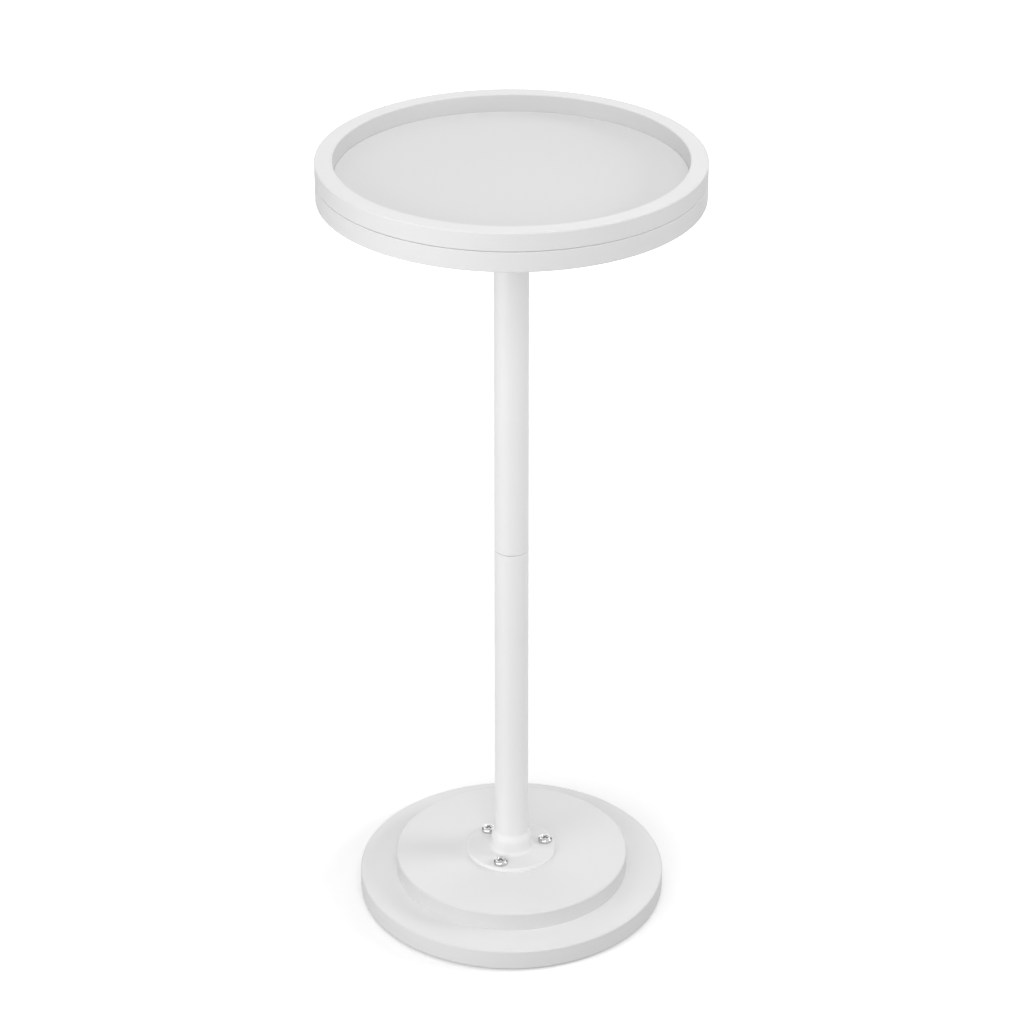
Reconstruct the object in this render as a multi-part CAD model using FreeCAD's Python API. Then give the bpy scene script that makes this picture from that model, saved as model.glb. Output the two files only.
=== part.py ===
import FreeCAD, Part
import math
import os

# Pedestal side table with a round tray top, in millimetres.
# The floor is Z = 0, the post's axis is Z, and -Y is the side that faces the viewer.

# Tray top: a ring on a disc of the same diameter
top_diameter = 300.0
rim_width = 14.0
rim_height = 15.0
panel_edge_height = 16.0
floor_rise = 1.0
rim_seat_clearance = 0.15
rim_gap_height = 0.4
rim_gap_depth = 2.0

# Dowels between the ring and the disc
dowel_count = 6
dowel_start_angle = 30.0
dowel_diameter = 6.0
dowel_depth_share = 0.6
dowel_chamfer_share = 0.2
dowel_end_gap = 0.3

# Post: two tubes of one section, end to end
post_diameter = 28.0
post_wall = 1.2
upper_post_length = 307.0
lower_post_length = 290.0
post_gap_height = 0.3
post_gap_depth_share = 0.65

# Screwed joint inside the post
stud_diameter = 10.0
stud_reach = 22.0
stud_chamfer_share = 0.2
plug_spare_length = 3.0
plug_recess = 0.5
thread_clearance = 0.08

# Flange, the same at both ends of the post
flange_thickness = 3.5
flange_land = 8.25
flange_rounding_share = 0.45
flange_foot_rounding_share = 0.1
neck_wall = 3.0
neck_height = 16.0
neck_root_radius = 3.0
neck_shoulder_share = 0.8

# Pan-head machine screws and the inserts that take them
screw_count = 3
screw_start_angle = 12.0
screw_diameter = 6.0
screw_reach_share = 0.6
head_diameter = 12.0
head_height = 3.8
head_rounding_share = 0.65
head_margin = 3.25
insert_wall = 1.6
insert_depth_share = 0.75
insert_sink = 0.4

# Cross recess in a screw head, as shares of the head's diameter and height
recess_span_share = 0.5
recess_foot_share = 0.22
recess_width_share = 0.1
recess_depth_share = 0.6

# Base: a smaller disc on a larger one
tier_diameter = 196.0
tier_height = 16.0
base_diameter = 257.0
base_height = 17.0

# Countersunk wood screws that hold the tier from below
wood_screw_count = 4
wood_screw_start_angle = 0.0
wood_screw_circle_share = 0.7
wood_screw_diameter = 4.0
wood_screw_reach_share = 0.68
wood_screw_tip_share = 0.8
wood_head_diameter = 8.0
wood_head_land = 0.5
wood_head_sink = 0.3

# Foot pads
pad_count = 4
pad_start_angle = 45.0
pad_diameter = 24.0
pad_height = 2.0
pad_rounding_share = 0.2
pad_inset = 12.0

# Finish and fits
edge_ease = 1.0
seam_ease = 0.6
post_seam_ease = 0.4
fit_clearance = 0.05
hole_clearance = 0.25
cut_overrun = 1.0

# Heights of the joints between boards and tubes, from the floor up
plate_foot_z = pad_height
tier_foot_z = plate_foot_z + base_height
tier_top_z = tier_foot_z + tier_height
post_seam_z = tier_top_z + lower_post_length
panel_foot_z = post_seam_z + upper_post_length
rim_foot_z = panel_foot_z + panel_edge_height
tray_floor_z = rim_foot_z + floor_rise
table_top_z = rim_foot_z + rim_height

# Radii and thicknesses that several pieces share
top_radius = top_diameter / 2
rim_inner_radius = top_radius - rim_width
dowel_radius = dowel_diameter / 2
dowel_circle_radius = top_radius - rim_width / 2
panel_thickness = panel_edge_height + floor_rise
post_radius = post_diameter / 2
post_bore_radius = post_radius - post_wall
stud_radius = stud_diameter / 2
neck_radius = post_radius + neck_wall
head_radius = head_diameter / 2
screw_radius = screw_diameter / 2
screw_circle_radius = neck_radius + neck_root_radius + head_margin + head_radius
flange_radius = screw_circle_radius + flange_land
insert_radius = screw_radius + insert_wall
wood_screw_radius = wood_screw_diameter / 2
wood_head_radius = wood_head_diameter / 2
wood_screw_circle_radius = wood_screw_circle_share * tier_diameter / 2
wood_head_z = plate_foot_z + wood_head_sink
wood_cone_foot_z = wood_head_z + wood_head_land
wood_cone_top_z = wood_cone_foot_z + wood_head_radius - wood_screw_radius
wood_tip_z = tier_foot_z + tier_height * wood_screw_reach_share
pad_radius = pad_diameter / 2
pad_circle_radius = base_diameter / 2 - pad_inset - pad_radius

ORIGIN = FreeCAD.Vector(0, 0, 0)
ACROSS = FreeCAD.Vector(1, 0, 0)
UP = FreeCAD.Vector(0, 0, 1)


def turned(corners):
    """Solid of revolution about Z. Each corner of its half section is (radius, height, rounding)."""
    points = [FreeCAD.Vector(radius, 0, height) for radius, height, rounding in corners]
    arrivals = []
    departures = []
    edges = []
    for index, corner in enumerate(points):
        rounding = corners[index][2]
        back = (points[index - 1] - corner).normalize()
        ahead = (points[(index + 1) % len(points)] - corner).normalize()
        half_angle = back.getAngle(ahead) / 2
        setback = rounding / math.tan(half_angle)
        arrivals.append(corner + back * setback)
        departures.append(corner + ahead * setback)
        if rounding > 0:
            inward = (back + ahead).normalize()
            crown = corner + inward * (rounding / math.sin(half_angle) - rounding)
            edges.append(Part.Arc(arrivals[index], crown, departures[index]).toShape())
    for index, departure in enumerate(departures):
        arrival = arrivals[(index + 1) % len(points)]
        edges.append(Part.LineSegment(departure, arrival).toShape())
    section = Part.Face(Part.Wire(Part.__sortEdges__(edges)))
    return section.revolve(ORIGIN, UP, 360)


def rod(radius, bottom, top):
    """Plain round bar about Z."""
    return Part.makeCylinder(radius, top - bottom, FreeCAD.Vector(0, 0, bottom))


def pin(radius, bottom, top, chamfer):
    """Round bar about Z with both ends chamfered."""
    return turned([
        (0, bottom, 0),
        (radius - chamfer, bottom, 0),
        (radius, bottom + chamfer, 0),
        (radius, top - chamfer, 0),
        (radius - chamfer, top, 0),
        (0, top, 0),
    ])


def upper_tube():
    """Upper length of the post, with a step at its foot that leaves a shadow line at the seam."""
    step_radius = post_radius - post_wall * post_gap_depth_share
    step_top = post_seam_z + post_gap_height
    return turned([
        (post_bore_radius, post_seam_z, 0),
        (step_radius, post_seam_z, 0),
        (step_radius, step_top, 0),
        (post_radius, step_top, post_seam_ease),
        (post_radius, panel_foot_z, 0),
        (post_bore_radius, panel_foot_z, 0),
    ])


def lower_tube():
    """Lower length of the post, eased where it meets the upper one."""
    return turned([
        (post_bore_radius, tier_top_z, 0),
        (post_radius, tier_top_z, 0),
        (post_radius, post_seam_z, post_seam_ease),
        (post_bore_radius, post_seam_z, 0),
    ])


def ring_of(shape, count, radius, start_angle):
    """Copies of a shape made about Z, moved out to a circle and spread evenly round it."""
    copies = []
    for index in range(count):
        copy = shape.copy()
        copy.translate(FreeCAD.Vector(radius, 0, 0))
        copy.rotate(ORIGIN, UP, start_angle + 360 * index / count)
        copies.append(copy)
    return Part.makeCompound(copies)


def screw_ring(shape):
    """The shape repeated at each screw of a flange."""
    return ring_of(shape, screw_count, screw_circle_radius, screw_start_angle)


def dowel_ring(shape):
    """The shape repeated at each dowel of the rim."""
    return ring_of(shape, dowel_count, dowel_circle_radius, dowel_start_angle)


def wood_screw_ring(shape):
    """The shape repeated at each wood screw of the base."""
    return ring_of(shape, wood_screw_count, wood_screw_circle_radius, wood_screw_start_angle)


def raised(shape, height):
    """The shape lifted to a height."""
    copy = shape.copy()
    copy.translate(FreeCAD.Vector(0, 0, height))
    return copy


def turned_over(shape, height):
    """The shape lifted to a height and turned upside down there."""
    copy = raised(shape, height)
    copy.rotate(FreeCAD.Vector(0, 0, height), ACROSS, 180)
    return copy


def cross_recess(diameter, depth):
    """Cutter of two crossed slots below Z = 0 that narrow downwards, like the tip of a driver."""
    half_width = diameter * recess_width_share / 2
    mouth = diameter * recess_span_share / 2
    foot = diameter * recess_foot_share / 2
    left = [(-mouth, cut_overrun), (-mouth, 0), (-foot, -depth)]
    right = [(foot, -depth), (mouth, 0), (mouth, cut_overrun)]
    corners = [FreeCAD.Vector(x, -half_width, z) for x, z in left + right]
    slot = Part.Face(Part.makePolygon(corners + corners[:1])).extrude(FreeCAD.Vector(0, 2 * half_width, 0))
    crossing = slot.copy()
    crossing.rotate(ORIGIN, UP, 90)
    return slot.fuse(crossing)


def flange():
    """Flange on Z = 0 with a raised neck for the tube and holes for the screws."""
    bore = post_radius + fit_clearance
    neck_top = flange_thickness + neck_height
    body = turned([
        (bore, 0, 0),
        (flange_radius, 0, flange_thickness * flange_foot_rounding_share),
        (flange_radius, flange_thickness, flange_thickness * flange_rounding_share),
        (neck_radius, flange_thickness, neck_root_radius),
        (neck_radius, neck_top, neck_wall * neck_shoulder_share),
        (bore, neck_top, 0),
    ])
    hole = rod(screw_radius + hole_clearance, -cut_overrun, flange_thickness + cut_overrun)
    return body.cut(screw_ring(hole))


def machine_screw(board_thickness):
    """Pan-head screw through a flange that lies on Z = 0, into the board below."""
    tip = -board_thickness * screw_reach_share
    crown = flange_thickness + head_height
    body = turned([
        (0, tip, 0),
        (screw_radius, tip, 0),
        (screw_radius, flange_thickness, 0),
        (head_radius, flange_thickness, 0),
        (head_radius, crown, head_height * head_rounding_share),
        (0, crown, 0),
    ])
    recess = cross_recess(head_diameter, head_height * recess_depth_share)
    return body.cut(raised(recess, crown))


def insert(board_thickness):
    """Threaded sleeve in a board whose face is Z = 0, the board lying below."""
    foot = -board_thickness * insert_depth_share
    bore = screw_radius + thread_clearance
    return turned([
        (bore, foot, 0),
        (insert_radius, foot, 0),
        (insert_radius, -insert_sink, 0),
        (bore, -insert_sink, 0),
    ])


def insert_hole(board_thickness):
    """Blind hole for an insert in a board whose face is Z = 0, the board lying below."""
    return rod(insert_radius + fit_clearance, -board_thickness * insert_depth_share, cut_overrun)


def plug():
    """Threaded plug in the end of a tube that stands on Z = 0."""
    bore = stud_radius + thread_clearance
    outside = post_bore_radius - fit_clearance
    top = stud_reach + plug_spare_length
    return turned([
        (bore, plug_recess, 0),
        (outside, plug_recess, 0),
        (outside, top, 0),
        (bore, top, 0),
    ])


def wood_screw():
    """Countersunk screw through the base plate into the tier, head down."""
    recess = cross_recess(wood_head_diameter, (wood_cone_top_z - wood_head_z) * recess_depth_share)
    body = turned([
        (0, wood_head_z, 0),
        (wood_head_radius, wood_head_z, 0),
        (wood_head_radius, wood_cone_foot_z, 0),
        (wood_screw_radius, wood_cone_top_z, 0),
        (wood_screw_radius, wood_tip_z - wood_screw_diameter * wood_screw_tip_share, 0),
        (0, wood_tip_z, 0),
    ])
    return body.cut(turned_over(recess, wood_head_z))


def wood_screw_hole():
    """Countersunk hole for a wood screw, open below."""
    return turned([
        (0, plate_foot_z - cut_overrun, 0),
        (wood_head_radius + fit_clearance, plate_foot_z - cut_overrun, 0),
        (wood_head_radius + fit_clearance, wood_cone_foot_z, 0),
        (wood_screw_radius + fit_clearance, wood_cone_top_z, 0),
        (wood_screw_radius + fit_clearance, wood_tip_z, 0),
        (0, wood_tip_z, 0),
    ])


def tray_rim():
    """Ring that stands on the edge of the panel, with a rebate that leaves a shadow line."""
    rebate_radius = top_radius - rim_gap_depth
    rebate_top = rim_foot_z + rim_gap_height
    body = turned([
        (rim_inner_radius, rim_foot_z, 0),
        (rebate_radius, rim_foot_z, 0),
        (rebate_radius, rebate_top, 0),
        (top_radius, rebate_top, seam_ease),
        (top_radius, table_top_z, edge_ease),
        (rim_inner_radius, table_top_z, edge_ease),
    ])
    return body.cut(dowel_ring(dowel_hole))


def top_panel():
    """Disc with a raised centre that keeps the ring in place and is the tray's floor."""
    floor_radius = rim_inner_radius - rim_seat_clearance
    body = turned([
        (0, panel_foot_z, 0),
        (top_radius, panel_foot_z, edge_ease),
        (top_radius, rim_foot_z, seam_ease),
        (floor_radius, rim_foot_z, 0),
        (floor_radius, tray_floor_z, 0),
        (0, tray_floor_z, 0),
    ])
    holes = turned_over(screw_ring(insert_hole(panel_thickness)), panel_foot_z)
    return body.cut([dowel_ring(dowel_hole), holes])


def base_tier():
    """Smaller disc of the base, which takes the flange."""
    body = turned([
        (0, tier_foot_z, 0),
        (tier_diameter / 2, tier_foot_z, seam_ease),
        (tier_diameter / 2, tier_top_z, edge_ease),
        (0, tier_top_z, 0),
    ])
    holes = raised(screw_ring(insert_hole(tier_height)), tier_top_z)
    return body.cut([wood_screw_ring(wood_screw_hole()), holes])


def base_plate():
    """Larger disc of the base, which stands on the pads."""
    body = turned([
        (0, plate_foot_z, 0),
        (base_diameter / 2, plate_foot_z, edge_ease),
        (base_diameter / 2, tier_foot_z, edge_ease),
        (0, tier_foot_z, 0),
    ])
    return body.cut(wood_screw_ring(wood_screw_hole()))


def foot_pad():
    """Round pad on the floor."""
    return turned([
        (0, 0, 0),
        (pad_radius, 0, pad_height * pad_rounding_share),
        (pad_radius, pad_height, 0),
        (0, pad_height, 0),
    ])


dowel_foot_z = rim_foot_z - panel_edge_height * dowel_depth_share
dowel_top_z = rim_foot_z + rim_height * dowel_depth_share
dowel_hole = rod(dowel_radius + fit_clearance, dowel_foot_z, dowel_top_z)
dowel_chamfer = dowel_radius * dowel_chamfer_share
dowel = pin(dowel_radius, dowel_foot_z + dowel_end_gap, dowel_top_z - dowel_end_gap, dowel_chamfer)
stud_chamfer = stud_radius * stud_chamfer_share
stud = pin(stud_radius, post_seam_z - stud_reach, post_seam_z + stud_reach, stud_chamfer)

nodes = {
    "tray_rim": tray_rim(),
    "rim_dowels": dowel_ring(dowel),
    "top_panel": top_panel(),
    "top_panel_inserts": turned_over(screw_ring(insert(panel_thickness)), panel_foot_z),
    "top_flange": turned_over(flange(), panel_foot_z),
    "top_flange_screws": turned_over(screw_ring(machine_screw(panel_thickness)), panel_foot_z),
    "upper_post": upper_tube(),
    "upper_post_plug": raised(plug(), post_seam_z),
    "joining_stud": stud,
    "lower_post_plug": turned_over(plug(), post_seam_z),
    "lower_post": lower_tube(),
    "base_flange": raised(flange(), tier_top_z),
    "base_flange_screws": raised(screw_ring(machine_screw(tier_height)), tier_top_z),
    "base_inserts": raised(screw_ring(insert(tier_height)), tier_top_z),
    "base_tier": base_tier(),
    "base_tier_screws": wood_screw_ring(wood_screw()),
    "base_plate": base_plate(),
    "foot_pads": ring_of(foot_pad(), pad_count, pad_circle_radius, pad_start_angle),
}

os.makedirs("parts", exist_ok=True)
for name, shape in nodes.items():
    shape.exportStep(f"parts/{name}.step")
    print(name, len(shape.Solids), "solids, volume", round(shape.Volume), "valid", shape.isValid())
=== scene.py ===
# %% [markdown]
# # A pedestal side table with a tray top
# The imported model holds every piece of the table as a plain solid, in metres, standing on Z = 0.
# Solids from a CAD program are made of flat triangles, so their round edges look faceted when light
# rakes over them. This lesson turns each visible piece again as a smooth mesh on the same sizes,
# gives it a finish, and sets it in a white studio. Nothing is moved or resized on the way.

import math

import bmesh
import bpy
from mathutils import Matrix, Vector


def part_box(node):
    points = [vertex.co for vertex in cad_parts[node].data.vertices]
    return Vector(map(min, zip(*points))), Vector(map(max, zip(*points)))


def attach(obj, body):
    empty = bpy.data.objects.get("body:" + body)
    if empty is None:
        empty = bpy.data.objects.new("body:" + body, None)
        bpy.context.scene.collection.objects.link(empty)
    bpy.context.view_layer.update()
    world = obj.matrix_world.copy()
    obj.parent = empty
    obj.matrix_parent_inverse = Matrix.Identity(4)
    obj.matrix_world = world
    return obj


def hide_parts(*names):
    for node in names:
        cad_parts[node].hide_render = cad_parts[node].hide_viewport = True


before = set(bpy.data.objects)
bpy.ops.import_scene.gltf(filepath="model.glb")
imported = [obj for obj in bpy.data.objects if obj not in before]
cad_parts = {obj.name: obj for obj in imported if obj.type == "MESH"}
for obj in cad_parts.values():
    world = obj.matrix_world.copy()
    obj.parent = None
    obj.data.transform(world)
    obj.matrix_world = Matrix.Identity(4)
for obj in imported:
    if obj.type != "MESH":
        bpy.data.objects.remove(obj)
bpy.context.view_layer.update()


print("solids:", ", ".join(sorted(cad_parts)))

# %% [markdown]
# The table is round about the Z axis, so two measures say almost everything about a piece: how far
# from the axis its points lie, and how high they stand. Reading both from the solids means that a
# change to the table's sizes comes through here by itself.

# %% Measure the solids
SAME_LEVEL = 1e-5


def reach(node, level=None):
    """Least and greatest distance of a solid's points from the axis, at one level if it is given."""
    points = [vertex.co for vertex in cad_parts[node].data.vertices]
    if level is not None:
        points = [point for point in points if abs(point.z - level) < SAME_LEVEL]
    distances = [math.hypot(point.x, point.y) for point in points]
    return min(distances), max(distances)


def levels(node):
    """Lowest and highest level of a solid."""
    low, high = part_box(node)
    return low.z, high.z


def circle_of(node):
    """Radius of the circle that a ring of small round pieces stands on, and the radius of one piece."""
    near, far = reach(node)
    return (near + far) / 2, (far - near) / 2


rim_inner, top_radius = reach("tray_rim")
rim_foot, rim_top = levels("tray_rim")
panel_foot, tray_floor = levels("top_panel")
floor_radius = reach("top_panel", tray_floor)[1]
tier_radius = reach("base_tier")[1]
tier_top = levels("base_tier")[1]
plate_radius = reach("base_plate")[1]
plate_foot, plate_top = levels("base_plate")
print(f"top {top_radius * 2:.3f} m across, base {plate_radius * 2:.3f} m, height {rim_top:.3f} m")

# %% [markdown]
# A lathe makes round work from a half section, and so does Blender's spin. The section is a wire of
# a few corners in the XZ plane. A vertex bevel turns a corner into an arc, and a holding point just
# beyond each arc keeps the flat face next to it flat in the shading. Rounding the section is cheaper
# than bevelling the finished piece, and every edge comes out even. The points of an arc are marked,
# so that a finish can paint shade there, to hold back the light that rounded corners catch.

# %% A lathe for half sections
AROUND = 256
ARC_SEGMENTS = 6
HOLD = 0.0004
WELD = 1e-6
FULL_TURN = 2 * math.pi


def held_section(corners, hold):
    """Points of a section as (place, setback). A setback over zero marks a corner to be rounded."""
    places = [Vector((radius, 0, level)) for radius, level, rounding in corners]
    section = []
    for index, corner in enumerate(places):
        rounding = corners[index][2]
        if rounding == 0:
            section.append((corner, 0))
            continue
        back = (places[index - 1] - corner).normalized()
        ahead = (places[(index + 1) % len(places)] - corner).normalized()
        setback = rounding / math.tan(back.angle(ahead) / 2)
        section.append((corner + back * (setback + hold), 0))
        section.append((corner, setback))
        section.append((corner + ahead * (setback + hold), 0))
    return section


def lathe(bm, corners, closed=False, around=AROUND, hold=HOLD):
    """Turns a half section about Z. Its corners are (radius, level, rounding)."""
    eased = bm.verts.layers.float.get("eased") or bm.verts.layers.float.new("eased")
    old = set(bm.verts)
    section = held_section(corners, hold)
    points = [bm.verts.new(place) for place, setback in section]
    followers = points[1:] + points[:1] if closed else points[1:]
    for point, follower in zip(points, followers):
        bm.edges.new((point, follower))
    for point, (place, setback) in zip(points, section):
        if setback > 0:
            arc = bmesh.ops.bevel(bm, geom=[point], offset=setback, offset_type="OFFSET", affect="VERTICES",
                                  segments=ARC_SEGMENTS, profile=0.5, material=-1, clamp_overlap=False)
            for vertex in arc["verts"]:
                vertex[eased] = 1
    wire = [vertex for vertex in bm.verts if vertex not in old]
    edges = {edge for vertex in wire for edge in vertex.link_edges}
    bmesh.ops.spin(bm, geom=wire + list(edges), cent=(0, 0, 0), axis=(0, 0, 1), dvec=(0, 0, 0),
                   angle=FULL_TURN, steps=around, use_merge=True)
    bmesh.ops.remove_doubles(bm, verts=[vertex for vertex in bm.verts if vertex not in old], dist=WELD)


# %% [markdown]
# Every finished mesh is welded, its faces are turned outwards, and it shades smooth up to the edges
# that are really sharp. It then takes the place of its solid: it rides on the same body, so it moves
# with the table's screwed joint, and the solid stays behind for the physics.

# %% Stand a finished mesh in for its solid
SHARP_ANGLE = math.radians(32)


def stand_in(bm, name, body, node):
    """Makes the object of a finished mesh and lets it stand for a solid."""
    bmesh.ops.remove_doubles(bm, verts=bm.verts[:], dist=WELD)
    bmesh.ops.recalc_face_normals(bm, faces=bm.faces[:])
    open_edges = sum(not edge.is_manifold for edge in bm.edges)
    for face in bm.faces:
        face.smooth = True
    mesh = bpy.data.meshes.new(name)
    bm.to_mesh(mesh)
    bm.free()
    mesh.set_sharp_from_angle(angle=SHARP_ANGLE)
    made = bpy.data.objects.new(name, mesh)
    bpy.context.scene.collection.objects.link(made)
    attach(made, body)
    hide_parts(node)
    print(f"{name}: {len(mesh.polygons)} faces, {open_edges} open edges")
    return made


# %% [markdown]
# The boards and flanges have drilled faces. A Boolean could cut the holes, but it leaves slivers in
# round edges. Here the lathe leaves a drilled face out, circles mark the mouths of the holes, and
# one fill closes the face round them. Each circle is then extruded step by step into its hole.

# %% A drill for flat faces
HOLE_SEGMENTS = 32


def ring_places(radius, count, start_degrees):
    """Places spread evenly on a circle about the axis, as (x, y)."""
    angles = [math.radians(start_degrees) + FULL_TURN * index / count for index in range(count)]
    return [(radius * math.cos(angle), radius * math.sin(angle)) for angle in angles]


def open_loops(bm, level):
    """Open edges of the mesh at a level."""
    return [edge for edge in bm.edges if edge.is_boundary
            and all(abs(vertex.co.z - level) < SAME_LEVEL for vertex in edge.verts)]


def only(kind, geometry):
    """The vertices, edges or faces among an operator's results."""
    return [part for part in geometry if isinstance(part, kind)]


def drill(bm, places, steps, through=False):
    """Sinks a hole at each place by steps of (radius, level), and returns the edges of its mouth."""
    mouths = []
    for x, y in places:
        radius, level = steps[0]
        mouth = bmesh.ops.create_circle(bm, cap_ends=False, radius=radius, segments=HOLE_SEGMENTS,
                                        matrix=Matrix.Translation((x, y, level)))
        edges = list({edge for vertex in mouth["verts"] for edge in vertex.link_edges})
        mouths += edges
        for (wide, upper), (narrow, lower) in zip(steps, steps[1:]):
            grown = bmesh.ops.extrude_edge_only(bm, edges=edges)["geom"]
            ring = only(bmesh.types.BMVert, grown)
            edges = only(bmesh.types.BMEdge, grown)
            edges = [edge for edge in edges if edge.verts[0] in ring and edge.verts[1] in ring]
            bmesh.ops.scale(bm, vec=(narrow / wide, narrow / wide, 1), verts=ring,
                            space=Matrix.Translation((-x, -y, 0)))
            bmesh.ops.translate(bm, vec=(0, 0, lower - upper), verts=ring)
        if not through:
            bmesh.ops.edgeloop_fill(bm, edges=edges)
    return mouths


def close_face(bm, edges):
    """Fills a flat face between its outer loop, any inner loop and the mouths of its holes."""
    bmesh.ops.triangle_fill(bm, use_beauty=True, edges=edges, normal=(0, 0, 1))


# %% [markdown]
# The tray's rim is a ring of fibreboard glued and dowelled on a disc of the same diameter. Both are
# sprayed white before they meet, and a shallow rebate under the ring leaves a shadow line all round.
# The easing is small, because an edge that caught more light would look like moulded plastic.

# %% Tray rim
EDGE_EASE = 0.001
SEAM_EASE = 0.0006
SEAM_GAP = 0.0004
SEAM_GAP_DEPTH = 0.002
HOLE_PLAY = 0.00005
DOWEL_COUNT = 6
DOWEL_START = 30
DOWEL_DEPTH = 0.009

dowel_circle, dowel_radius = circle_of("rim_dowels")
dowel_places = ring_places(dowel_circle, DOWEL_COUNT, DOWEL_START)
dowel_hole = dowel_radius + HOLE_PLAY
seam_edge = top_radius - SEAM_GAP_DEPTH

rim = bmesh.new()
inside_rim = rim.verts.layers.float.new("inside_rim")
lathe(rim, [(rim_inner, rim_foot, 0), (rim_inner, rim_top, EDGE_EASE), (top_radius, rim_top, EDGE_EASE),
            (top_radius, rim_foot + SEAM_GAP, SEAM_EASE), (seam_edge, rim_foot + SEAM_GAP, 0),
            (seam_edge, rim_foot, 0)])
seat = open_loops(rim, rim_foot)
seat += drill(rim, dowel_places, [(dowel_hole, rim_foot), (dowel_hole, rim_foot + DOWEL_DEPTH)])
close_face(rim, seat)
for vertex in rim.verts:
    if math.hypot(vertex.co.x, vertex.co.y) < rim_inner + EDGE_EASE / 2:
        vertex[inside_rim] = 1
rim_ring = stand_in(rim, "rim_ring", "upper_half", "tray_rim")

# %% [markdown]
# The disc under the rim is thicker in the middle: the raised part centres the ring and is the floor
# of the tray. Its underside has three blind holes for the inserts that take the flange's screws.

# %% Tray disc
SCREW_COUNT = 3
SCREW_START = 12
INSERT_DEPTH = 0.012

screw_circle, head_radius = circle_of("base_flange_screws")
insert_hole = circle_of("base_inserts")[1] + HOLE_PLAY
underside_edge = top_radius - 2 * EDGE_EASE

disc = bmesh.new()
inside_rim = disc.verts.layers.float.new("inside_rim")
lathe(disc, [(0, tray_floor, 0), (floor_radius, tray_floor, 0), (floor_radius, rim_foot, 0)])
for vertex in disc.verts:
    vertex[inside_rim] = 1
lathe(disc, [(seam_edge, rim_foot, 0), (top_radius, rim_foot, SEAM_EASE),
             (top_radius, panel_foot, EDGE_EASE), (underside_edge, panel_foot, 0)])
seat = open_loops(disc, rim_foot)
seat += drill(disc, dowel_places, [(dowel_hole, rim_foot), (dowel_hole, rim_foot - DOWEL_DEPTH)])
close_face(disc, seat)
underside = open_loops(disc, panel_foot)
underside += drill(disc, ring_places(screw_circle, SCREW_COUNT, -SCREW_START),
                   [(insert_hole, panel_foot), (insert_hole, panel_foot + INSERT_DEPTH)])
close_face(disc, underside)
tray_disc = stand_in(disc, "tray_disc", "upper_half", "top_panel")

# %% [markdown]
# The base is two discs of the same board, the smaller one held by four wood screws from below. The
# screws' countersunk holes go right through the larger disc and end inside the smaller one.

# %% Base discs
WOOD_SCREW_COUNT = 4
WOOD_SHANK = 0.002
WOOD_HEAD_LAND = 0.0005

wood_circle, wood_head = circle_of("base_tier_screws")
wood_head_foot, wood_tip = levels("base_tier_screws")
wood_cone_foot = wood_head_foot + WOOD_HEAD_LAND
wood_cone_top = wood_cone_foot + wood_head - WOOD_SHANK
wood_places = ring_places(wood_circle, WOOD_SCREW_COUNT, 0)
wood_hole = WOOD_SHANK + HOLE_PLAY
wood_mouth = wood_head + HOLE_PLAY

tier = bmesh.new()
lathe(tier, [(tier_radius - 2 * SEAM_EASE, plate_top, 0), (tier_radius, plate_top, SEAM_EASE),
             (tier_radius, tier_top, EDGE_EASE), (tier_radius - 2 * EDGE_EASE, tier_top, 0)])
underside = open_loops(tier, plate_top)
underside += drill(tier, wood_places, [(wood_hole, plate_top), (wood_hole, wood_tip)])
close_face(tier, underside)
seat = open_loops(tier, tier_top)
seat += drill(tier, ring_places(screw_circle, SCREW_COUNT, SCREW_START),
              [(insert_hole, tier_top), (insert_hole, tier_top - INSERT_DEPTH)])
close_face(tier, seat)
upper_base_disc = stand_in(tier, "upper_base_disc", "lower_half", "base_tier")

plate = bmesh.new()
plate_edge = plate_radius - 2 * EDGE_EASE
lathe(plate, [(plate_edge, plate_foot, 0), (plate_radius, plate_foot, EDGE_EASE),
              (plate_radius, plate_top, EDGE_EASE), (plate_edge, plate_top, 0)])
underside = open_loops(plate, plate_foot)
underside += drill(plate, wood_places, [(wood_mouth, plate_foot), (wood_mouth, wood_cone_foot),
                                        (wood_hole, wood_cone_top), (wood_hole, plate_top)], through=True)
close_face(plate, underside)
close_face(plate, open_loops(plate, plate_top))
lower_base_disc = stand_in(plate, "lower_base_disc", "lower_half", "base_plate")

# %% [markdown]
# The post is two lengths of steel tube that meet end to end. The upper one has a small step turned
# in its end, so that the seam shows as one even line and not as two edges that never quite match. The
# ends are faced after coating, and the points there are marked: the finish paints them near black, as
# bare steel and as painted shade in the narrow gap of the seam.

# %% Post tubes
TUBE_AROUND = 128
POST_EASE = 0.0004
POST_HOLD = 0.0002
POST_GAP = 0.0003
POST_GAP_DEPTH = 0.00078

post_bore, post_radius = reach("upper_post")
post_seam = levels("lower_post")[1]
step_radius = post_radius - POST_GAP_DEPTH
step_top = post_seam + POST_GAP
seam_mark_radius = post_radius - POST_EASE - POST_HOLD / 2
upper_section = [(post_bore, post_seam, 0), (step_radius, post_seam, 0), (step_radius, step_top, 0),
                 (post_radius, step_top, POST_EASE), (post_radius, panel_foot, 0), (post_bore, panel_foot, 0)]
lower_section = [(post_bore, tier_top, 0), (post_radius, tier_top, 0), (post_radius, post_seam, POST_EASE),
                 (post_bore, post_seam, 0)]
tubes = []
for name, body, node, section in [("upper_tube", "upper_half", "upper_post", upper_section),
                                  ("lower_tube", "lower_half", "lower_post", lower_section)]:
    tube = bmesh.new()
    bare_and_seam_shade = tube.verts.layers.float.new("bare_and_seam_shade")
    lathe(tube, section, closed=True, around=TUBE_AROUND, hold=POST_HOLD)
    for vertex in tube.verts:
        at_seam = post_seam - SAME_LEVEL < vertex.co.z < step_top + SAME_LEVEL
        if at_seam and math.hypot(vertex.co.x, vertex.co.y) < seam_mark_radius:
            vertex[bare_and_seam_shade] = 1
    tubes.append(stand_in(tube, name, body, node))

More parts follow.
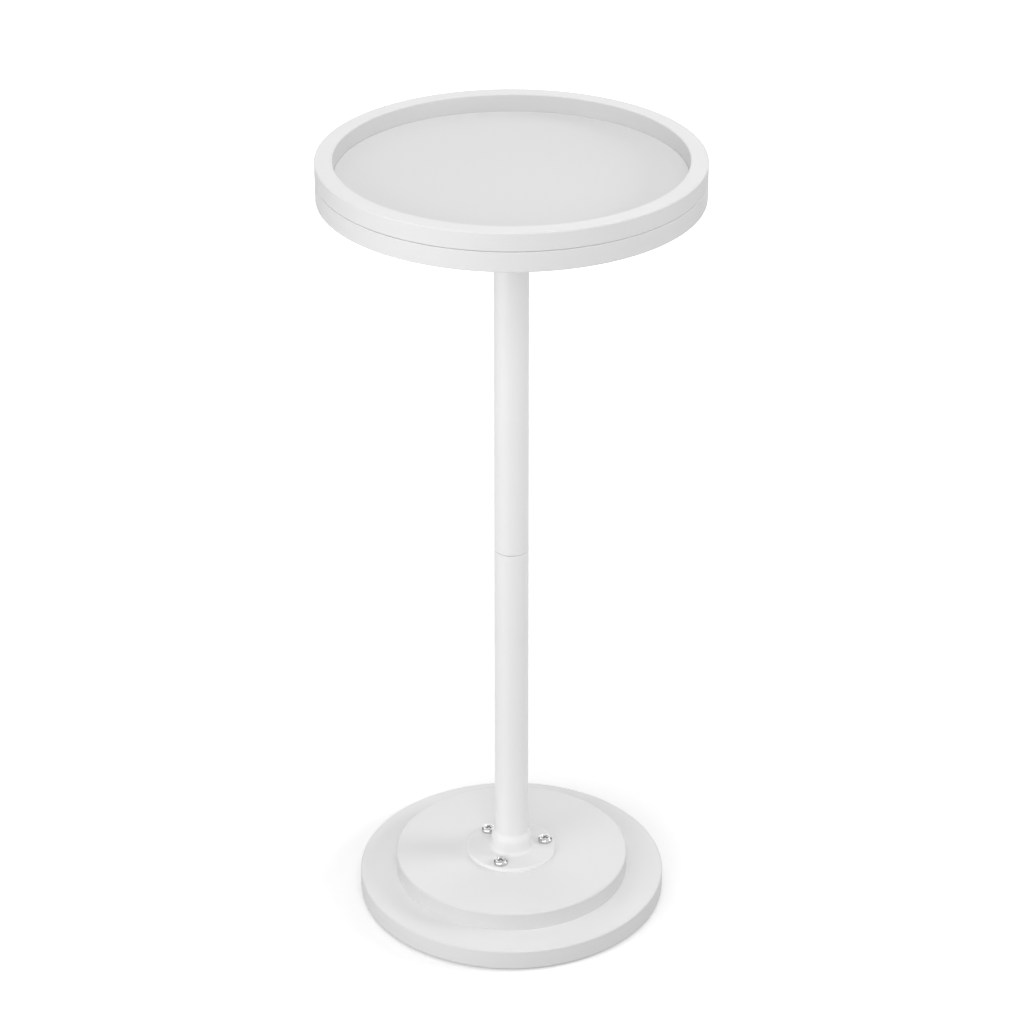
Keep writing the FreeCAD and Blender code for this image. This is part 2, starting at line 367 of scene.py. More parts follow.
# %% [markdown]
# A flange with a raised neck holds each end of the post. It is a casting, so its outer edge is well
# rounded and the neck grows out of the plate in a hollow curve. Paint fills the corner where the tube
# comes out of the neck, so the two run into each other in a soft slope. The same flange is used twice:
# one function makes it lying on Z = 0, and for the top it is turned over.

# %% Flanges
FLANGE_THICKNESS = 0.0035
FLANGE_FOOT_ROUNDING = 0.00035
FLANGE_EDGE_ROUNDING = 0.001575
NECK_RADIUS = 0.017
NECK_ROOT_ROUNDING = 0.003
SLOPE_BELOW_TOP = 0.004
SLOPE_ABOVE_TOP = 0.0012
SLOPE_ROUNDING = 0.005
NECK_HOLD = 0.00005
COAT_FILL = 0.00005
COLLAR_RISE = 0.0015
SCREW_HOLE = 0.00325

flange_bore, flange_radius = reach("base_flange")
neck_top = levels("base_flange")[1] - tier_top
at_base = Matrix.Translation((0, 0, tier_top))
at_top = Matrix.Translation((0, 0, panel_foot)) @ Matrix.Rotation(math.pi, 4, "X")


def flange():
    """Flange on Z = 0 with its neck upwards."""
    bm = bmesh.new()
    collar_radius = flange_bore + COAT_FILL
    slope_foot = neck_top - SLOPE_BELOW_TOP
    slope_top = neck_top + SLOPE_ABOVE_TOP
    collar_top = slope_top + COLLAR_RISE
    land_inner = NECK_RADIUS + NECK_ROOT_ROUNDING + 2 * HOLD
    land_outer = flange_radius - FLANGE_EDGE_ROUNDING - 2 * HOLD
    foot_outer = flange_radius - FLANGE_FOOT_ROUNDING - 2 * HOLD
    lathe(bm, [(foot_outer, 0, 0), (flange_radius, 0, FLANGE_FOOT_ROUNDING),
               (flange_radius, FLANGE_THICKNESS, FLANGE_EDGE_ROUNDING), (land_outer, FLANGE_THICKNESS, 0)])
    lathe(bm, [(land_inner, FLANGE_THICKNESS, 0), (NECK_RADIUS, FLANGE_THICKNESS, NECK_ROOT_ROUNDING),
               (NECK_RADIUS, slope_foot, SLOPE_ROUNDING), (collar_radius, slope_top, SLOPE_ROUNDING),
               (collar_radius, collar_top, 0), (flange_bore, collar_top, 0), (flange_bore, 0, 0)],
          hold=NECK_HOLD)
    land = open_loops(bm, FLANGE_THICKNESS)
    land += drill(bm, ring_places(screw_circle, SCREW_COUNT, SCREW_START),
                  [(SCREW_HOLE, FLANGE_THICKNESS), (SCREW_HOLE, 0)], through=True)
    close_face(bm, land)
    close_face(bm, open_loops(bm, 0))
    return bm


flanges = []
for name, body, node, place in [("upper_flange", "upper_half", "top_flange", at_top),
                                ("lower_flange", "lower_half", "base_flange", at_base)]:
    made = flange()
    bmesh.ops.transform(made, matrix=place, verts=made.verts[:])
    flanges.append(stand_in(made, name, body, node))

# %% [markdown]
# Three bright pan-head screws hold each flange. The head is lathe work up to a flat crown, and the
# cross recess is a twelve-cornered outline that is extruded down and drawn in, like the tip of the
# driver that fits it. Fitters never stop at the same angle, so each screw is turned differently.
# Each point also keeps its distance from its own screw's axis, for the turning marks in the plating.

# %% Pan-head screws
HEAD_AROUND = 64
HEAD_HOLD = 0.0001
SCREW_SHANK = 0.003
SCREW_CHAMFER = 0.0006
HEAD_ROUNDING = 0.00247
HEAD_FOOT_EASE = 0.0003
RECESS_ARMS = 4
PAN_RECESS = {"arm": 0.003, "half_width": 0.00065, "depth": 0.0023, "foot_share": 0.44}
UPPER_SCREW_TURNS = (25, 70, 8)
LOWER_SCREW_TURNS = (38, 5, 61)

screw_tip, screw_crown = [level - tier_top for level in levels("base_flange_screws")]


def cross_recess(bm, level, inwards, size):
    """Sinks a cross recess inside the open loop at a level, and closes the face between them."""
    rim_edges = open_loops(bm, level)
    arm = size["arm"]
    half = size["half_width"]
    outline = []
    for index in range(RECESS_ARMS):
        turn = Matrix.Rotation(FULL_TURN * index / RECESS_ARMS, 3, "Z")
        for corner in [(arm, -half, 0), (arm, half, 0), (half, half, 0)]:
            outline.append(bm.verts.new(turn @ Vector(corner) + Vector((0, 0, level))))
    edges = [bm.edges.new(pair) for pair in zip(outline, outline[1:] + outline[:1])]
    close_face(bm, rim_edges + edges)
    grown = bmesh.ops.extrude_edge_only(bm, edges=edges)["geom"]
    foot = only(bmesh.types.BMVert, grown)
    bmesh.ops.scale(bm, vec=(size["foot_share"], size["foot_share"], 1), verts=foot)
    bmesh.ops.translate(bm, vec=(0, 0, inwards * size["depth"]), verts=foot)
    foot_edges = [edge for edge in only(bmesh.types.BMEdge, grown) if all(end in foot for end in edge.verts)]
    bmesh.ops.edgeloop_fill(bm, edges=foot_edges)


def spread(bm, circle, start_degrees, own_turns):
    """Repeats a piece that stands on the axis round a circle, each copy with a turn of its own."""
    from_axis = bm.verts.layers.float.new("from_axis")
    for vertex in bm.verts:
        vertex[from_axis] = math.hypot(vertex.co.x, vertex.co.y)
    pattern = bm.verts[:] + bm.edges[:] + bm.faces[:]
    for index, own_turn in enumerate(own_turns):
        copy = only(bmesh.types.BMVert, bmesh.ops.duplicate(bm, geom=pattern)["geom"])
        around = math.radians(start_degrees) + FULL_TURN * index / len(own_turns)
        place = (Matrix.Rotation(around, 4, "Z") @ Matrix.Translation((circle, 0, 0))
                 @ Matrix.Rotation(math.radians(own_turn), 4, "Z"))
        bmesh.ops.transform(bm, matrix=place, verts=copy)
    bmesh.ops.delete(bm, geom=only(bmesh.types.BMVert, pattern), context="VERTS")


def pan_head_screws(own_turns):
    """The three screws of a flange that lies on Z = 0."""
    bm = bmesh.new()
    crown_edge = head_radius - HEAD_ROUNDING - 2 * HEAD_HOLD
    lathe(bm, [(0, screw_tip, 0), (SCREW_SHANK - SCREW_CHAMFER, screw_tip, 0),
               (SCREW_SHANK, screw_tip + SCREW_CHAMFER, 0), (SCREW_SHANK, FLANGE_THICKNESS, 0),
               (head_radius, FLANGE_THICKNESS, HEAD_FOOT_EASE), (head_radius, screw_crown, HEAD_ROUNDING),
               (crown_edge, screw_crown, 0)], around=HEAD_AROUND, hold=HEAD_HOLD)
    cross_recess(bm, screw_crown, -1, PAN_RECESS)
    spread(bm, screw_circle, SCREW_START, own_turns)
    return bm


screws = []
for name, body, node, place, turns in [
        ("upper_flange_fixings", "upper_half", "top_flange_screws", at_top, UPPER_SCREW_TURNS),
        ("lower_flange_fixings", "lower_half", "base_flange_screws", at_base, LOWER_SCREW_TURNS)]:
    made = pan_head_screws(turns)
    bmesh.ops.transform(made, matrix=place, verts=made.verts[:])
    screws.append(stand_in(made, name, body, node))

# %% [markdown]
# The wood screws are driven from below, so their countersunk heads face the floor. They are made
# like the pan heads, with the recess going upwards.

# %% Wood screws
WOOD_AROUND = 48
WOOD_TAPER = 0.0032
WOOD_RECESS = {"arm": 0.002, "half_width": 0.00045, "depth": 0.0015, "foot_share": 0.44}
WOOD_CROWN_EDGE = 0.0024
WOOD_SCREW_TURNS = (12, 75, 40, 58)

countersunk = bmesh.new()
lathe(countersunk, [(WOOD_CROWN_EDGE, wood_head_foot, 0), (wood_head, wood_head_foot, 0),
                    (wood_head, wood_cone_foot, 0), (WOOD_SHANK, wood_cone_top, 0),
                    (WOOD_SHANK, wood_tip - WOOD_TAPER, 0), (0, wood_tip, 0)], around=WOOD_AROUND)
cross_recess(countersunk, wood_head_foot, 1, WOOD_RECESS)
spread(countersunk, wood_circle, 0, WOOD_SCREW_TURNS)
wood_screws = stand_in(countersunk, "underside_wood_screws", "lower_half", "base_tier_screws")

# %% [markdown]
# The halves of the post screw together on a threaded stud. A thread is a small section that climbs
# one pitch in each turn: spin with a lift for every step makes exactly that, and two cuts square off
# the ends. The pitch matters, because the table's upper half rises by one pitch for each turn.

# %% Threaded stud
THREAD_PITCH = 0.0015
THREAD_AROUND = 32
THREAD_DEPTH_SHARE = 0.541
ROOT_SHARE = 0.25
CREST_SHARES = (0.5625, 0.6875)
RUN_IN_TURNS = 1.5

stud_radius = reach("joining_stud")[1]
stud_foot, stud_head = levels("joining_stud")


def threaded_bar(radius, foot, head):
    """Bar about Z with an outside thread, cut square at both ends."""
    bm = bmesh.new()
    root = radius - THREAD_DEPTH_SHARE * THREAD_PITCH
    start = foot - RUN_IN_TURNS * THREAD_PITCH
    turns = math.ceil((head - start) / THREAD_PITCH)
    crest = [(radius, share) for share in CREST_SHARES]
    shape = [(root, 0), (root, ROOT_SHARE)] + crest + [(root, 1)]
    points = [bm.verts.new((across, 0, start + share * THREAD_PITCH)) for across, share in shape]
    edges = [bm.edges.new(pair) for pair in zip(points, points[1:])]
    bmesh.ops.spin(bm, geom=points + edges, cent=(0, 0, 0), axis=(0, 0, 1),
                   dvec=(0, 0, THREAD_PITCH / THREAD_AROUND), angle=FULL_TURN * turns,
                   steps=THREAD_AROUND * turns, use_merge=False)
    bmesh.ops.remove_doubles(bm, verts=bm.verts[:], dist=WELD)
    for level, outwards in [(foot, -1), (head, 1)]:
        whole = bm.verts[:] + bm.edges[:] + bm.faces[:]
        cut = bmesh.ops.bisect_plane(bm, geom=whole, plane_co=(0, 0, level), plane_no=(0, 0, outwards),
                                     clear_outer=True)["geom_cut"]
        bmesh.ops.edgeloop_fill(bm, edges=only(bmesh.types.BMEdge, cut))
    return bm


stud = stand_in(threaded_bar(stud_radius, stud_foot, stud_head), "threaded_stud", "stud", "joining_stud")

# %% [markdown]
# A steel plug is pressed into each tube behind the seam and takes the stud. Its bore has a lead-in
# chamfer, so that the stud finds its way when the table is put together.

# %% Tube plugs
PLUG_LEAD_IN = 0.0007

plugs = []
for name, body, node, mouth_at_foot in [("upper_plug", "upper_half", "upper_post_plug", True),
                                        ("lower_plug", "lower_half", "lower_post_plug", False)]:
    bore, outside = reach(node)
    foot, head = levels(node)
    mouth, end, inwards = (foot, head, 1) if mouth_at_foot else (head, foot, -1)
    plug = bmesh.new()
    lathe(plug, [(bore + PLUG_LEAD_IN, mouth, 0), (outside, mouth, 0), (outside, end, 0), (bore, end, 0),
                 (bore, mouth + inwards * PLUG_LEAD_IN, 0)], closed=True, around=TUBE_AROUND)
    plugs.append(stand_in(plug, name, body, node))

# %% [markdown]
# Four foam rubber pads keep the base off the floor. They are punched from sheet, so the upper edge
# is square where it is stuck on, and the lower edge is worn round.

# %% Foot pads
PAD_COUNT = 4
PAD_START = 45
PAD_ROUNDING = 0.0004
PAD_HOLD = 0.0002

pad_circle, pad_radius = circle_of("foot_pads")
pad_foot, pad_head = levels("foot_pads")
pad = bmesh.new()
lathe(pad, [(0, pad_foot, 0), (pad_radius, pad_foot, PAD_ROUNDING), (pad_radius, pad_head, 0),
            (0, pad_head, 0)], around=HEAD_AROUND, hold=PAD_HOLD)
spread(pad, pad_circle, PAD_START, (0,) * PAD_COUNT)
floor_pads = stand_in(pad, "floor_pads", "lower_half", "foot_pads")

# %% [markdown]
# The finishes are worked out by nodes from places on the table itself, so they look the same from
# every side. Node trees are long to write by hand. Two small helpers make them read like sums: one
# adds a node with its settings and sockets in a single call, and one wraps a socket, so that plus,
# minus and times add the Math nodes.

# %% Node helpers
class Signal:
    """A node's output that can stand in a Python expression."""

    def __init__(self, nodes, socket):
        self.nodes = nodes
        self.socket = socket

    def sum(self, operation, first, second):
        """Adds a Math node for two values."""
        return self.nodes.add("ShaderNodeMath", {"operation": operation}, {0: first, 1: second})

    def __add__(self, other):
        return self.sum("ADD", self, other)

    def __radd__(self, other):
        return self.sum("ADD", other, self)

    def __sub__(self, other):
        return self.sum("SUBTRACT", self, other)

    def __rsub__(self, other):
        return self.sum("SUBTRACT", other, self)

    def __mul__(self, other):
        return self.sum("MULTIPLY", self, other)

    def __rmul__(self, other):
        return self.sum("MULTIPLY", other, self)


class Nodes:
    """A node tree that is built one call at a time."""

    def __init__(self, owner):
        owner.use_nodes = True
        self.tree = owner.node_tree
        self.tree.nodes.clear()

    def add(self, kind, settings=None, sockets=None, output=0):
        """Adds a node, sets its settings, then the values or links of its sockets."""
        node = self.tree.nodes.new(kind)
        for name, value in (settings or {}).items():
            setattr(node, name, value)
        for name, value in (sockets or {}).items():
            if isinstance(value, Signal):
                self.tree.links.new(value.socket, node.inputs[name])
            else:
                node.inputs[name].default_value = value
        return Signal(self, node.outputs[output]) if node.outputs else None

    def noise(self, scale, detail=2, place=None):
        """Soft random value round one half, by default from the piece's own place."""
        place = place or self.add("ShaderNodeTexCoord", output="Object")
        return self.add("ShaderNodeTexNoise", {}, {"Vector": place, "Scale": scale, "Detail": detail})

    def blend(self, share, first, second):
        """Colour between two others."""
        return self.add("ShaderNodeMix", {"data_type": "RGBA"}, {0: share, 6: first, 7: second}, output=2)

    def fade(self, value, low, high):
        """Smooth step from 0 at low to 1 at high."""
        return self.add("ShaderNodeMapRange", {"interpolation_type": "SMOOTHSTEP"},
                        {"Value": value, "From Min": low, "From Max": high})

    def attribute(self, name):
        """A number that each point of the mesh carries."""
        return self.add("ShaderNodeAttribute", {"attribute_name": name}, output="Fac")

    def bump(self, height, depth, strength):
        """Normal of a surface with fine relief, whose depth is in metres."""
        return self.add("ShaderNodeBump", {}, {"Height": height, "Distance": depth, "Strength": strength})

    def surface(self, sockets):
        """Closes the tree with one surface shader."""
        shader = self.add("ShaderNodeBsdfPrincipled", {}, sockets)
        self.add("ShaderNodeOutputMaterial", {}, {"Surface": shader})


def wear(pieces, material):
    """Gives pieces a finish in place of whatever they had."""
    for piece in pieces:
        if not piece.material_slots:
            piece.data.materials.append(material)
        for slot in piece.material_slots:
            slot.material = material
    print(f"{material.name}: on {', '.join(piece.name for piece in pieces)}")


# %% [markdown]
# The boards have a satin white lacquer, sprayed and sanded between coats. Apart from painted shade it
# is almost one colour: what tells it from plastic is a faint cloudiness, a fine orange peel on the
# faces, and a slightly rougher, fibrous look on the cut edges, where the board soaks up paint. The
# painted shade darkens the upright cut edges by a tone given for each board, so the function takes
# that tone. It also darkens the eased corners, to hold back the light they catch, and inside the rim
# it makes the floor greyer and the walls much darker, as shade in the tray's hollow.

# %% White lacquer on board
LACQUER = (0.865, 0.865, 0.863, 1)
LACQUER_CLOUD = (0.848, 0.848, 0.846, 1)
# Painted shade for the eased corners.
CORNER_SHADE = (0.78, 0.78, 0.778, 1)
# Painted shade inside the tray: a greyer floor and much darker walls.
TRAY_FLOOR_SHADE = (0.79, 0.79, 0.789, 1)
TRAY_WALL_SHADE = (0.615, 0.615, 0.613, 1)
# Painted shade on the upright cut edges, one tone for each board.
TOP_EDGE_SHADE = (0.772, 0.772, 0.77, 1)
TIER_EDGE_SHADE = (0.721, 0.721, 0.719, 1)
PLATE_EDGE_SHADE = (0.789, 0.789, 0.787, 1)
CLOUD_RANGE = (0.35, 0.75)
CUT_EDGE_RANGE = (0.2, 0.8)
CORNER_SHADE_SHARE = 0.8
LACQUER_CLOUDS_PER_METRE = 9
LACQUER_PEEL_PER_METRE = 650
FIBRES_PER_METRE = 420
FIBRE_STRETCH = (1, 1, 2.6)
LACQUER_RELIEF = 0.00006
LACQUER_ROUGHNESS = 0.48
CLOUD_ROUGHNESS = 0.06
FIBRE_ROUGHNESS = 0.07


def white_lacquer(name, edge_shade):
    """Satin lacquer whose upright cut edges are darker by a tone of painted shade given for each board."""
    material = bpy.data.materials.new(name)
    nodes = Nodes(material)
    cloud = nodes.fade(nodes.noise(LACQUER_CLOUDS_PER_METRE, detail=3), *CLOUD_RANGE)
    peel = nodes.noise(LACQUER_PEEL_PER_METRE)
    normal = nodes.add("ShaderNodeNewGeometry", output="Normal")
    facing = nodes.add("ShaderNodeSeparateXYZ", {}, {0: normal}, output="Z")
    cut_edge = 1 - nodes.fade(facing * facing, *CUT_EDGE_RANGE)
    place = nodes.add("ShaderNodeTexCoord", output="Object")
    fibre_place = nodes.add("ShaderNodeMapping", {}, {"Vector": place, "Scale": FIBRE_STRETCH})
    fibre = nodes.noise(FIBRES_PER_METRE, detail=4, place=fibre_place)
    # Painted shade: the upright cut edges take the board's darker edge tone.
    colour = nodes.blend(cut_edge, nodes.blend(cloud, LACQUER, LACQUER_CLOUD), edge_shade)
    # Painted shade: the eased corners are darkened to hold back the light they catch.
    colour = nodes.blend(nodes.attribute("eased") * CORNER_SHADE_SHARE, colour, CORNER_SHADE)
    # Painted shade inside the tray: the floor is greyer and the walls much darker.
    tray_shade = nodes.blend(cut_edge, TRAY_FLOOR_SHADE, TRAY_WALL_SHADE)
    colour = nodes.blend(nodes.attribute("inside_rim"), colour, tray_shade)
    relief = peel * (1 - cut_edge) + fibre * cut_edge
    roughness = LACQUER_ROUGHNESS + cloud * CLOUD_ROUGHNESS + cut_edge * FIBRE_ROUGHNESS
    nodes.surface({"Base Color": colour, "Roughness": roughness, "Specular IOR Level": 0.2,
                   "Normal": nodes.bump(relief, LACQUER_RELIEF, strength=0.2)})
    return material


wear([rim_ring, tray_disc], white_lacquer("top_lacquer", TOP_EDGE_SHADE))
wear([upper_base_disc], white_lacquer("tier_lacquer", TIER_EDGE_SHADE))
wear([lower_base_disc], white_lacquer("plate_lacquer", PLATE_EDGE_SHADE))

# %% [markdown]
# Powder coat melts on in the oven, so its orange peel is finer and glossier than a sprayed lacquer
# and it runs evenly over every corner. Tubes and flanges share it. Only the tubes' faced ends, which
# carry the mark for it, are painted near black in the seam: bare steel, and painted shade in the gap.

# %% White powder coat on steel
COAT = (0.864, 0.864, 0.864, 1)
COAT_CLOUD = (0.852, 0.852, 0.852, 1)
# Near black for the faced ends in the seam: bare steel and painted shade.
BARE_END_AND_SEAM_SHADE = (0.12, 0.12, 0.12, 1)
COAT_CLOUDS_PER_METRE = 14
COARSE_PEEL_PER_METRE = 900
FINE_PEEL_PER_METRE = 2600
FINE_PEEL_SHARE = 0.4
COAT_RELIEF = 0.00005
COAT_ROUGHNESS = 0.36
COAT_CLOUD_ROUGHNESS = 0.05

powder = bpy.data.materials.new("white_powder_coat")
nodes = Nodes(powder)
cloud = nodes.fade(nodes.noise(COAT_CLOUDS_PER_METRE), *CLOUD_RANGE)
fine_peel = nodes.noise(FINE_PEEL_PER_METRE, detail=1)
peel = nodes.noise(COARSE_PEEL_PER_METRE, detail=1) + fine_peel * FINE_PEEL_SHARE
# The seam's faced ends are painted near black: bare steel, and painted shade in the gap.
colour = nodes.blend(nodes.attribute("bare_and_seam_shade"), nodes.blend(cloud, COAT, COAT_CLOUD), BARE_END_AND_SEAM_SHADE)
nodes.surface({"Base Color": colour, "Roughness": COAT_ROUGHNESS + cloud * COAT_CLOUD_ROUGHNESS,
               "Normal": nodes.bump(peel, COAT_RELIEF, strength=0.15), "Specular IOR Level": 0.25})
wear(tubes + flanges, powder)

# %% [markdown]
# The pan heads are bright plated. Plating this smooth is seen only by what it mirrors, so it needs
# faint turning marks round each screw's own axis and a few rubbed patches to look like metal.

# %% Bright plating
PLATING = (0.60, 0.60, 0.61, 1)
PLATING_RUBBED = (0.48, 0.48, 0.48, 1)
RUBBED_PER_METRE = 700
RUBBED_RANGE = (0.45, 0.75)
MARK_WIDTH = 0.00008
MARK_DEPTH = 0.000004
PLATING_ROUGHNESS = 0.08
RUBBED_ROUGHNESS = 0.1
MARK_ROUGHNESS = 0.05

plating = bpy.data.materials.new("bright_plating")
nodes = Nodes(plating)
rubbed = nodes.fade(nodes.noise(RUBBED_PER_METRE, detail=3), *RUBBED_RANGE)
marks = nodes.add("ShaderNodeTexNoise", {"noise_dimensions": "1D"},
                  {"W": nodes.attribute("from_axis"), "Scale": 1 / MARK_WIDTH, "Detail": 2})
nodes.surface({"Base Color": nodes.blend(rubbed, PLATING, PLATING_RUBBED), "Metallic": 1,
               "Roughness": PLATING_ROUGHNESS + rubbed * RUBBED_ROUGHNESS + marks * MARK_ROUGHNESS,
               "Normal": nodes.bump(marks, MARK_DEPTH, strength=0.5)})
wear(screws, plating)

# %% [markdown]
# Hidden hardware is zinc plated: duller, with a faint patchy grain, and slightly warm where it has
# been passivated. The stud and plugs are darker, because their threads are cut after plating.

# %% Zinc plate and cut steel
ZINC = (0.66, 0.65, 0.61, 1)
ZINC_STAINED = (0.56, 0.55, 0.50, 1)
ZINC_ROUGHNESS = 0.28
CUT_STEEL = (0.58, 0.58, 0.57, 1)
CUT_STEEL_STAINED = (0.46, 0.46, 0.45, 1)
CUT_STEEL_ROUGHNESS = 0.3
PATCHES_PER_METRE = 900
PATCH_RELIEF = 0.00002
PATCH_ROUGHNESS = 0.1
STAINS_PER_METRE = 260
STAIN_RANGE = (0.4, 0.7)
STAIN_ROUGHNESS = 0.08


def plated(name, bright, dull, roughness):
    """Dull metal with patches of two tones."""
    material = bpy.data.materials.new(name)
    nodes = Nodes(material)
    place = nodes.add("ShaderNodeTexCoord", output="Object")
    patch = nodes.add("ShaderNodeTexVoronoi", {}, {"Vector": place, "Scale": PATCHES_PER_METRE},
                      output="Distance")
    stain = nodes.fade(nodes.noise(STAINS_PER_METRE, detail=3), *STAIN_RANGE)
    nodes.surface({"Base Color": nodes.blend(stain, bright, dull), "Metallic": 1,
                   "Roughness": roughness + patch * PATCH_ROUGHNESS + stain * STAIN_ROUGHNESS,
                   "Normal": nodes.bump(patch, PATCH_RELIEF, strength=0.15)})
    return material


wear([wood_screws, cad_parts["top_panel_inserts"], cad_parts["base_inserts"]],
     plated("zinc_plate", ZINC, ZINC_STAINED, ZINC_ROUGHNESS))
wear([stud] + plugs, plated("cut_steel", CUT_STEEL, CUT_STEEL_STAINED, CUT_STEEL_ROUGHNESS))

# %% [markdown]
# The pads are closed-cell foam rubber, so tiny cells cover them and they swallow nearly all light.

# %% Foam rubber
FOAM = (0.03, 0.03, 0.031, 1)
FOAM_WORN = (0.075, 0.074, 0.072, 1)
CELLS_PER_METRE = 1500
CELL_DEPTH = 0.0002
DUST_PER_METRE = 240
DUST_RANGE = (0.45, 0.8)
FOAM_ROUGHNESS = 0.85
DUST_ROUGHNESS = 0.1

foam = bpy.data.materials.new("foam_rubber")
nodes = Nodes(foam)
place = nodes.add("ShaderNodeTexCoord", output="Object")
cells = nodes.add("ShaderNodeTexVoronoi", {}, {"Vector": place, "Scale": CELLS_PER_METRE}, output="Distance")
dust = nodes.fade(nodes.noise(DUST_PER_METRE, detail=3), *DUST_RANGE)
nodes.surface({"Base Color": nodes.blend(dust, FOAM, FOAM_WORN),
               "Roughness": FOAM_ROUGHNESS + dust * DUST_ROUGHNESS,
               "Normal": nodes.bump(cells, CELL_DEPTH, strength=0.5)})
wear([floor_pads], foam)

# %% [markdown]
# The dowels are beech rod. Its grain runs along the rod, with short dark flecks.

# %% Beech
BEECH = (0.66, 0.46, 0.27, 1)
BEECH_GRAIN = (0.50, 0.32, 0.17, 1)
GRAIN_PER_METRE = 1400
GRAIN_STRETCH = (1, 1, 0.08)
GRAIN_RANGE = (0.35, 0.75)
GRAIN_RELIEF = 0.00005
BEECH_ROUGHNESS = 0.6
GRAIN_ROUGHNESS = 0.15

beech = bpy.data.materials.new("beech")
nodes = Nodes(beech)
place = nodes.add("ShaderNodeTexCoord", output="Object")
along = nodes.add("ShaderNodeMapping", {}, {"Vector": place, "Scale": GRAIN_STRETCH})
grain = nodes.fade(nodes.noise(GRAIN_PER_METRE, detail=4, place=along), *GRAIN_RANGE)
nodes.surface({"Base Color": nodes.blend(grain, BEECH, BEECH_GRAIN),
               "Roughness": BEECH_ROUGHNESS + grain * GRAIN_ROUGHNESS,
               "Normal": nodes.bump(grain, GRAIN_RELIEF, strength=0.3)})
wear([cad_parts["rim_dowels"]], beech)

# %% [markdown]
# The camera looks down from standing height through a long lens, which keeps the ellipses of the
# tray and the base nearly alike. Its focal length is given in image widths, so it holds for any
# sensor.

# %% Camera
SENSOR_WIDTH = 36
FOCAL_IN_WIDTHS = 3.0769
CAMERA_PLACE = Vector((0.0004, -2.24346, 1.53723))
CAMERA_TILT = math.radians(62.278)

camera = bpy.data.objects.new("camera", bpy.data.cameras.new("camera"))
camera.data.sensor_width = SENSOR_WIDTH
camera.data.lens = FOCAL_IN_WIDTHS * SENSOR_WIDTH
camera.matrix_world = Matrix.Translation(CAMERA_PLACE) @ Matrix.Rotation(CAMERA_TILT, 4, "X")
bpy.context.scene.collection.objects.link(camera)
bpy.context.scene.camera = camera
print(f"camera: lens {camera.data.lens:.1f} mm, {CAMERA_PLACE.length:.2f} m from the table's foot")

# %% [markdown]
# The studio is a white sweep. Camera rays, and rays that mirror or pass through something, see white,
# while the light that reaches the table from all round is set apart, so the background can be white
# without burning out a white table. The floor is lit like any surface and so keeps the shadow.

# %% Floor and surroundings
FLOOR_HALF_WIDTH = 12
SURROUND_LIGHT = 0.47
FLOOR_COLOUR = (0.93, 0.93, 0.93, 1)
FLOOR_BOUNCE = (0.5, 0.5, 0.5, 1)
WHITE = (1, 1, 1, 1)
NEAR_LIFT = 0.2
FAR_LIFT = 0.8
NEAR_TABLE = 0.2
FAR_FROM_TABLE = 1.2

bpy.context.scene.view_settings.view_transform = "Standard"


def shown_rays(nodes):
    """1 for rays that show the studio to the lens, straight, mirrored or through something."""
    kinds = [nodes.add("ShaderNodeLightPath", output=kind)
             for kind in ("Is Camera Ray", "Is Glossy Ray", "Is Transmission Ray")]
    return nodes.add("ShaderNodeClamp", {}, {"Value": kinds[0] + kinds[1] + kinds[2]})


world = bpy.data.worlds.new("studio")
bpy.context.scene.world = world
nodes = Nodes(world)
strength = SURROUND_LIGHT + shown_rays(nodes) * (1 - SURROUND_LIGHT)
background = nodes.add("ShaderNodeBackground", {}, {"Color": WHITE, "Strength": strength})
nodes.add("ShaderNodeOutputWorld", {}, {"Surface": background})

ground = bmesh.new()
bmesh.ops.create_grid(ground, x_segments=1, y_segments=1, size=FLOOR_HALF_WIDTH)
floor_mesh = bpy.data.meshes.new("studio_floor")
ground.to_mesh(floor_mesh)
ground.free()
floor = bpy.data.objects.new("studio_floor", floor_mesh)
bpy.context.scene.collection.objects.link(floor)

sweep = bpy.data.materials.new("white_sweep")
nodes = Nodes(sweep)
place = nodes.add("ShaderNodeTexCoord", output="Object")
away = nodes.add("ShaderNodeVectorMath", {"operation": "LENGTH"}, {0: place}, output="Value")
lift = NEAR_LIFT + nodes.fade(away, NEAR_TABLE, FAR_FROM_TABLE) * (FAR_LIFT - NEAR_LIFT)
lit = nodes.add("ShaderNodeBsdfDiffuse", {}, {"Color": FLOOR_COLOUR})
glow = nodes.add("ShaderNodeEmission", {}, {"Color": WHITE, "Strength": lift})
shown = nodes.add("ShaderNodeAddShader", {}, {0: lit, 1: glow})
bounce = nodes.add("ShaderNodeBsdfDiffuse", {}, {"Color": FLOOR_BOUNCE})
surface = nodes.add("ShaderNodeMixShader", {}, {0: shown_rays(nodes), 1: bounce, 2: shown})
nodes.add("ShaderNodeOutputMaterial", {}, {"Surface": surface})
wear([floor], sweep)

# %% [markdown]
# Bright metal shows only what it mirrors, so in an all-white studio it would look like white plastic.
# Two dark cards stand behind the table, to the left and the right, and a low one at the right. The
# camera doesn't see them, but the plating does. They give the screw heads their dark flanks, and the
# pair behind keeps the edges of the white boards from fading away.

# %% Dark cards
FELT = (0.02, 0.02, 0.02, 1)
FELT_NAP = (0.03, 0.03, 0.03, 1)
NAP_PER_METRE = 60
FELT_ROUGHNESS = 0.95
BEHIND_AZIMUTH = 124
LOW_AZIMUTH = 70
BEHIND_CARD = {"distance": 1.33, "width": 1.1, "height": 0.7}
LOW_CARD = {"distance": 1.5, "width": 0.6, "height": 0.25}
UNIT_HALF = 0.5

felt = bpy.data.materials.new("dark_felt")
nodes = Nodes(felt)
nodes.surface({"Base Color": nodes.blend(nodes.noise(NAP_PER_METRE), FELT, FELT_NAP),
               "Roughness": FELT_ROUGHNESS, "Specular IOR Level": 0.1})


